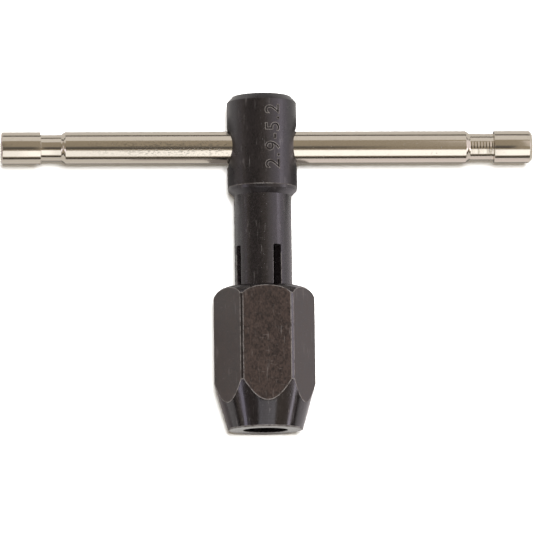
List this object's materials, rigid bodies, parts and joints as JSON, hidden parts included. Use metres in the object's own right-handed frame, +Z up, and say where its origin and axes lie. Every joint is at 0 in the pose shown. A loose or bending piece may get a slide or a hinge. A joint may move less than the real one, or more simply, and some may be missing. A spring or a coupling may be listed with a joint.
{
  "type": "tap wrench",
  "caption": "T-handle tap wrench: a sliding cross bar through a round head, a slotted shank with spring-finger jaws, and a hexagonal chuck nut that closes them.",
  "frame": {"origin": "centre of the nose hole, in the plane of the chuck nut's nose face", "axes": "-Y out of the chuck's mouth along the tap's axis, +X along the sliding bar, +Z up with the wrench lying on a flat of its nut"},
  "size_m": [0.105, 0.0663, 0.0176],
  "materials": {
    "black_body": "black oxide on turned steel",
    "black_jaw": "black oxide on turned and sawn steel",
    "black_nut": "black oxide on ground hexagon stock",
    "plated_bar": "nickel plate over turned steel",
    "bright_steel": "polished ball",
    "spring_steel": "drawn spring wire",
    "black_screw": "black oxide"
  },
  "bodies": {
    "body": {"wrench_body": "black_body", "detent_ball": "bright_steel", "detent_spring": "spring_steel", "spring_screw": "black_screw"},
    "bar": {"sliding_bar": "plated_bar"},
    "nut_lead": {"nut_thread": "black_nut"},
    "nut": {"chuck_nut": "black_nut"},
    "finger_1": {"jaw_1": "black_jaw"},
    "finger_2": {"jaw_2": "black_jaw"},
    "finger_3": {"jaw_3": "black_jaw"},
    "finger_4": {"jaw_4": "black_jaw"}
  },
  "joints": [
    {"name": "bar_slide", "type": "slide", "parent": "body", "child": "bar", "axis": [1, 0, 0], "range_m": [-0.04478, 0.04253]},
    {"name": "nut_advance", "type": "slide", "parent": "body", "child": "nut_lead", "axis": [0, 1, 0], "range_m": [0, 0.00305]},
    {"name": "nut_turn", "type": "hinge", "parent": "nut_lead", "child": "nut", "pos_m": [0, 0, 0], "axis": [0, 1, 0], "range_deg": [0, 864.01]},
    {"name": "finger_1_bend", "type": "hinge", "parent": "body", "child": "finger_1", "pos_m": [0.00422, 0.0363, 0.00148], "axis": [0.3305, 0, -0.9438], "range_deg": [0, 1.94]},
    {"name": "finger_2_bend", "type": "hinge", "parent": "body", "child": "finger_2", "pos_m": [0.00148, 0.0363, -0.00422], "axis": [-0.9438, 0, -0.3305], "range_deg": [0, 1.94]},
    {"name": "finger_3_bend", "type": "hinge", "parent": "body", "child": "finger_3", "pos_m": [-0.00422, 0.0363, -0.00148], "axis": [-0.3305, 0, 0.9438], "range_deg": [0, 1.94]},
    {"name": "finger_4_bend", "type": "hinge", "parent": "body", "child": "finger_4", "pos_m": [-0.00148, 0.0363, 0.00422], "axis": [0.9438, 0, 0.3305], "range_deg": [0, 1.94]}
  ],
  "couplings": [
    {"joint": "nut_turn", "follows": "nut_advance", "rad_per_m": 4947.4},
    {"joint": "finger_1_bend", "follows": "nut_advance", "rad_per_m": 11.115},
    {"joint": "finger_2_bend", "follows": "nut_advance", "rad_per_m": 11.115},
    {"joint": "finger_3_bend", "follows": "nut_advance", "rad_per_m": 11.115},
    {"joint": "finger_4_bend", "follows": "nut_advance", "rad_per_m": 11.115}
  ]
}
